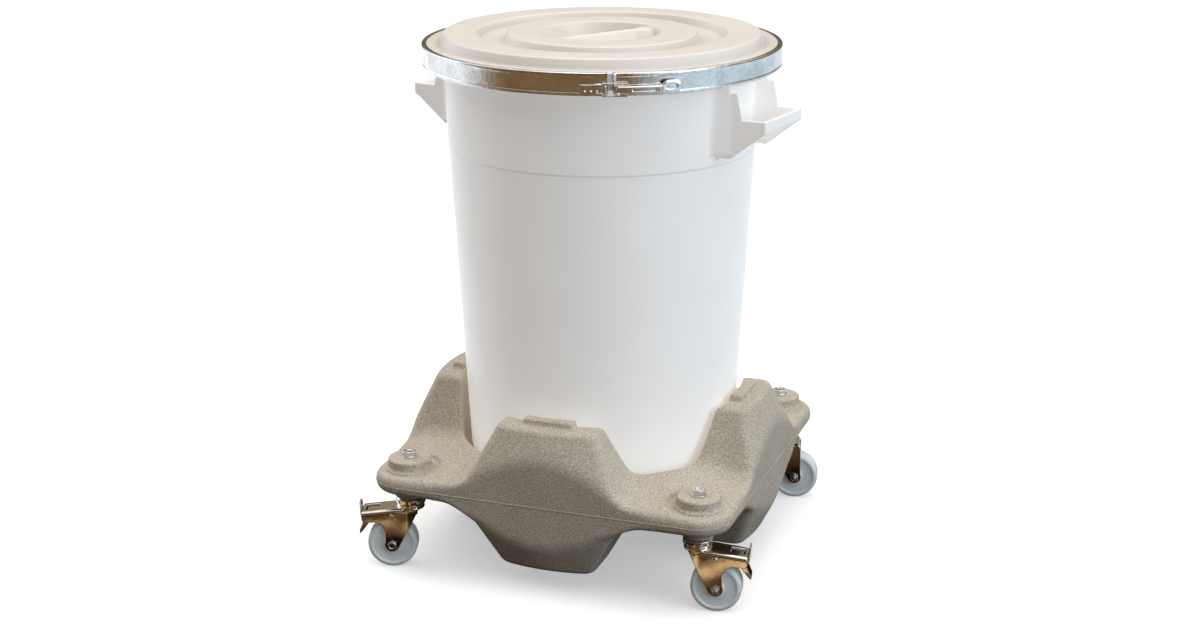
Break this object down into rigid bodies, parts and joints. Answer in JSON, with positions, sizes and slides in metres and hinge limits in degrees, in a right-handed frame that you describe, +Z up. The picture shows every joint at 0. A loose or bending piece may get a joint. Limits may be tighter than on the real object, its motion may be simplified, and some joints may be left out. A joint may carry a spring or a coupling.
{
  "type": "wash bucket",
  "caption": "Round tapered lidded bucket with side handles and a lever-locked clamp ring, set in a square moulded dolly on swivel castors with brakes.",
  "frame": {"origin": "on the floor under the bucket's vertical axis, the bottom centre of the bounding box", "axes": "+Z up along the bucket's axis, the clamp's lock at the front towards -Y, the handles towards -X and +X, the dolly's sides square to X and Y"},
  "size_m": [0.6479, 0.59, 0.842],
  "materials": {
    "white_polyethylene": "smooth satin moulded white",
    "granite_polyethylene": "matte speckled grey-beige rotational moulding",
    "seal_rubber": "matte black",
    "galvanised_band": "galvanised with a fine spangle",
    "lock_steel": "bright zinc plated",
    "castor_steel": "bright plated pressed steel",
    "zinc_fasteners": "zinc plated",
    "nylon": "smooth off-white nylon"
  },
  "bodies": {
    "dolly": {"dolly_body": "granite_polyethylene", "castor_bolts": "zinc_fasteners", "bolt_washers": "zinc_fasteners", "castor_heads": "castor_steel", "castor_retainers": "castor_steel", "castor_nuts": "zinc_fasteners", "swivel_balls": "castor_steel"},
    "bucket": {"bucket": "white_polyethylene"},
    "lid": {"lid": "white_polyethylene", "lid_seal": "seal_rubber", "band_right": "galvanised_band", "lever_bracket": "galvanised_band", "lever_pin": "lock_steel"},
    "clamp_left": {"band_left": "galvanised_band", "catch_bracket": "galvanised_band"},
    "lever": {"clamp_lever": "lock_steel"},
    "link": {"clamp_link": "lock_steel"},
    "castor_front_left": {"fork_front_left": "castor_steel", "axle_sleeve_front_left": "castor_steel", "axle_bolt_front_left": "zinc_fasteners", "axle_nut_front_left": "zinc_fasteners", "brake_pin_front_left": "zinc_fasteners", "brake_spring_front_left": "castor_steel"},
    "wheel_front_left": {"wheel_front_left": "nylon"},
    "brake_front_left": {"brake_pedal_front_left": "castor_steel"},
    "castor_front_right": {"fork_front_right": "castor_steel", "axle_sleeve_front_right": "castor_steel", "axle_bolt_front_right": "zinc_fasteners", "axle_nut_front_right": "zinc_fasteners", "brake_pin_front_right": "zinc_fasteners", "brake_spring_front_right": "castor_steel"},
    "wheel_front_right": {"wheel_front_right": "nylon"},
    "brake_front_right": {"brake_pedal_front_right": "castor_steel"},
    "castor_rear_right": {"fork_rear_right": "castor_steel", "axle_sleeve_rear_right": "castor_steel", "axle_bolt_rear_right": "zinc_fasteners", "axle_nut_rear_right": "zinc_fasteners"},
    "wheel_rear_right": {"wheel_rear_right": "nylon"},
    "castor_rear_left": {"fork_rear_left": "castor_steel", "axle_sleeve_rear_left": "castor_steel", "axle_bolt_rear_left": "zinc_fasteners", "axle_nut_rear_left": "zinc_fasteners"},
    "wheel_rear_left": {"wheel_rear_left": "nylon"}
  },
  "joints": [
    {"name": "bucket_lift", "type": "slide", "parent": "dolly", "child": "bucket", "axis": [0, 0, 1], "range_m": [0, 0.35]},
    {"name": "lid_lift", "type": "slide", "parent": "bucket", "child": "lid", "axis": [0, 0, 1], "range_m": [0, 0.25]},
    {"name": "band_spring", "type": "hinge", "parent": "lid", "child": "clamp_left", "pos_m": [-0.10489, 0.25961, 0.81], "axis": [0, 0, -1], "range_deg": [0, 1.25]},
    {"name": "lever_swing", "type": "hinge", "parent": "lid", "child": "lever", "pos_m": [0.11753, -0.26421, 0.8035], "axis": [0, 0, -1], "range_deg": [0, 150]},
    {"name": "link_swing", "type": "hinge", "parent": "lever", "child": "link", "pos_m": [0.12988, -0.25739, 0.8035], "axis": [0, 0, 1], "range_deg": [0, 155]},
    {"name": "swivel_front_left", "type": "hinge", "parent": "dolly", "child": "castor_front_left", "pos_m": [-0.2408, -0.2408, 0.1], "axis": [0, 0, 1], "continuous": true},
    {"name": "wheel_spin_front_left", "type": "hinge", "parent": "castor_front_left", "child": "wheel_front_left", "pos_m": [-0.26933, -0.25007, 0.04], "axis": [0.309, -0.9511, 0], "continuous": true},
    {"name": "brake_front_left", "type": "hinge", "parent": "castor_front_left", "child": "brake_front_left", "pos_m": [-0.26838, -0.24976, 0.09], "axis": [0.309, -0.9511, 0], "range_deg": [0, 8]},
    {"name": "swivel_front_right", "type": "hinge", "parent": "dolly", "child": "castor_front_right", "pos_m": [0.2408, -0.2408, 0.1], "axis": [0, 0, 1], "continuous": true},
    {"name": "wheel_spin_front_right", "type": "hinge", "parent": "castor_front_right", "child": "wheel_front_right", "pos_m": [0.27034, -0.23559, 0.04], "axis": [-0.1736, 0.9848, 0], "continuous": true},
    {"name": "brake_front_right", "type": "hinge", "parent": "castor_front_right", "child": "brake_front_right", "pos_m": [0.26936, -0.23576, 0.09], "axis": [-0.1736, 0.9848, 0], "range_deg": [0, 8]},
    {"name": "swivel_rear_right", "type": "hinge", "parent": "dolly", "child": "castor_rear_right", "pos_m": [0.2408, 0.2408, 0.1], "axis": [0, 0, 1], "continuous": true},
    {"name": "wheel_spin_rear_right", "type": "hinge", "parent": "castor_rear_right", "child": "wheel_rear_right", "pos_m": [0.27014, 0.24704, 0.04], "axis": [-0.2079, 0.9781, 0], "continuous": true},
    {"name": "swivel_rear_left", "type": "hinge", "parent": "dolly", "child": "castor_rear_left", "pos_m": [-0.2408, 0.2408, 0.1], "axis": [0, 0, 1], "continuous": true},
    {"name": "wheel_spin_rear_left", "type": "hinge", "parent": "castor_rear_left", "child": "wheel_rear_left", "pos_m": [-0.26862, 0.25204, 0.04], "axis": [-0.3746, -0.9272, 0], "continuous": true}
  ],
  "couplings": [
    {"joint": "band_spring", "follows": "lever_swing", "ratio": 0.008},
    {"joint": "link_swing", "follows": "lever_swing", "ratio": 1}
  ]
}
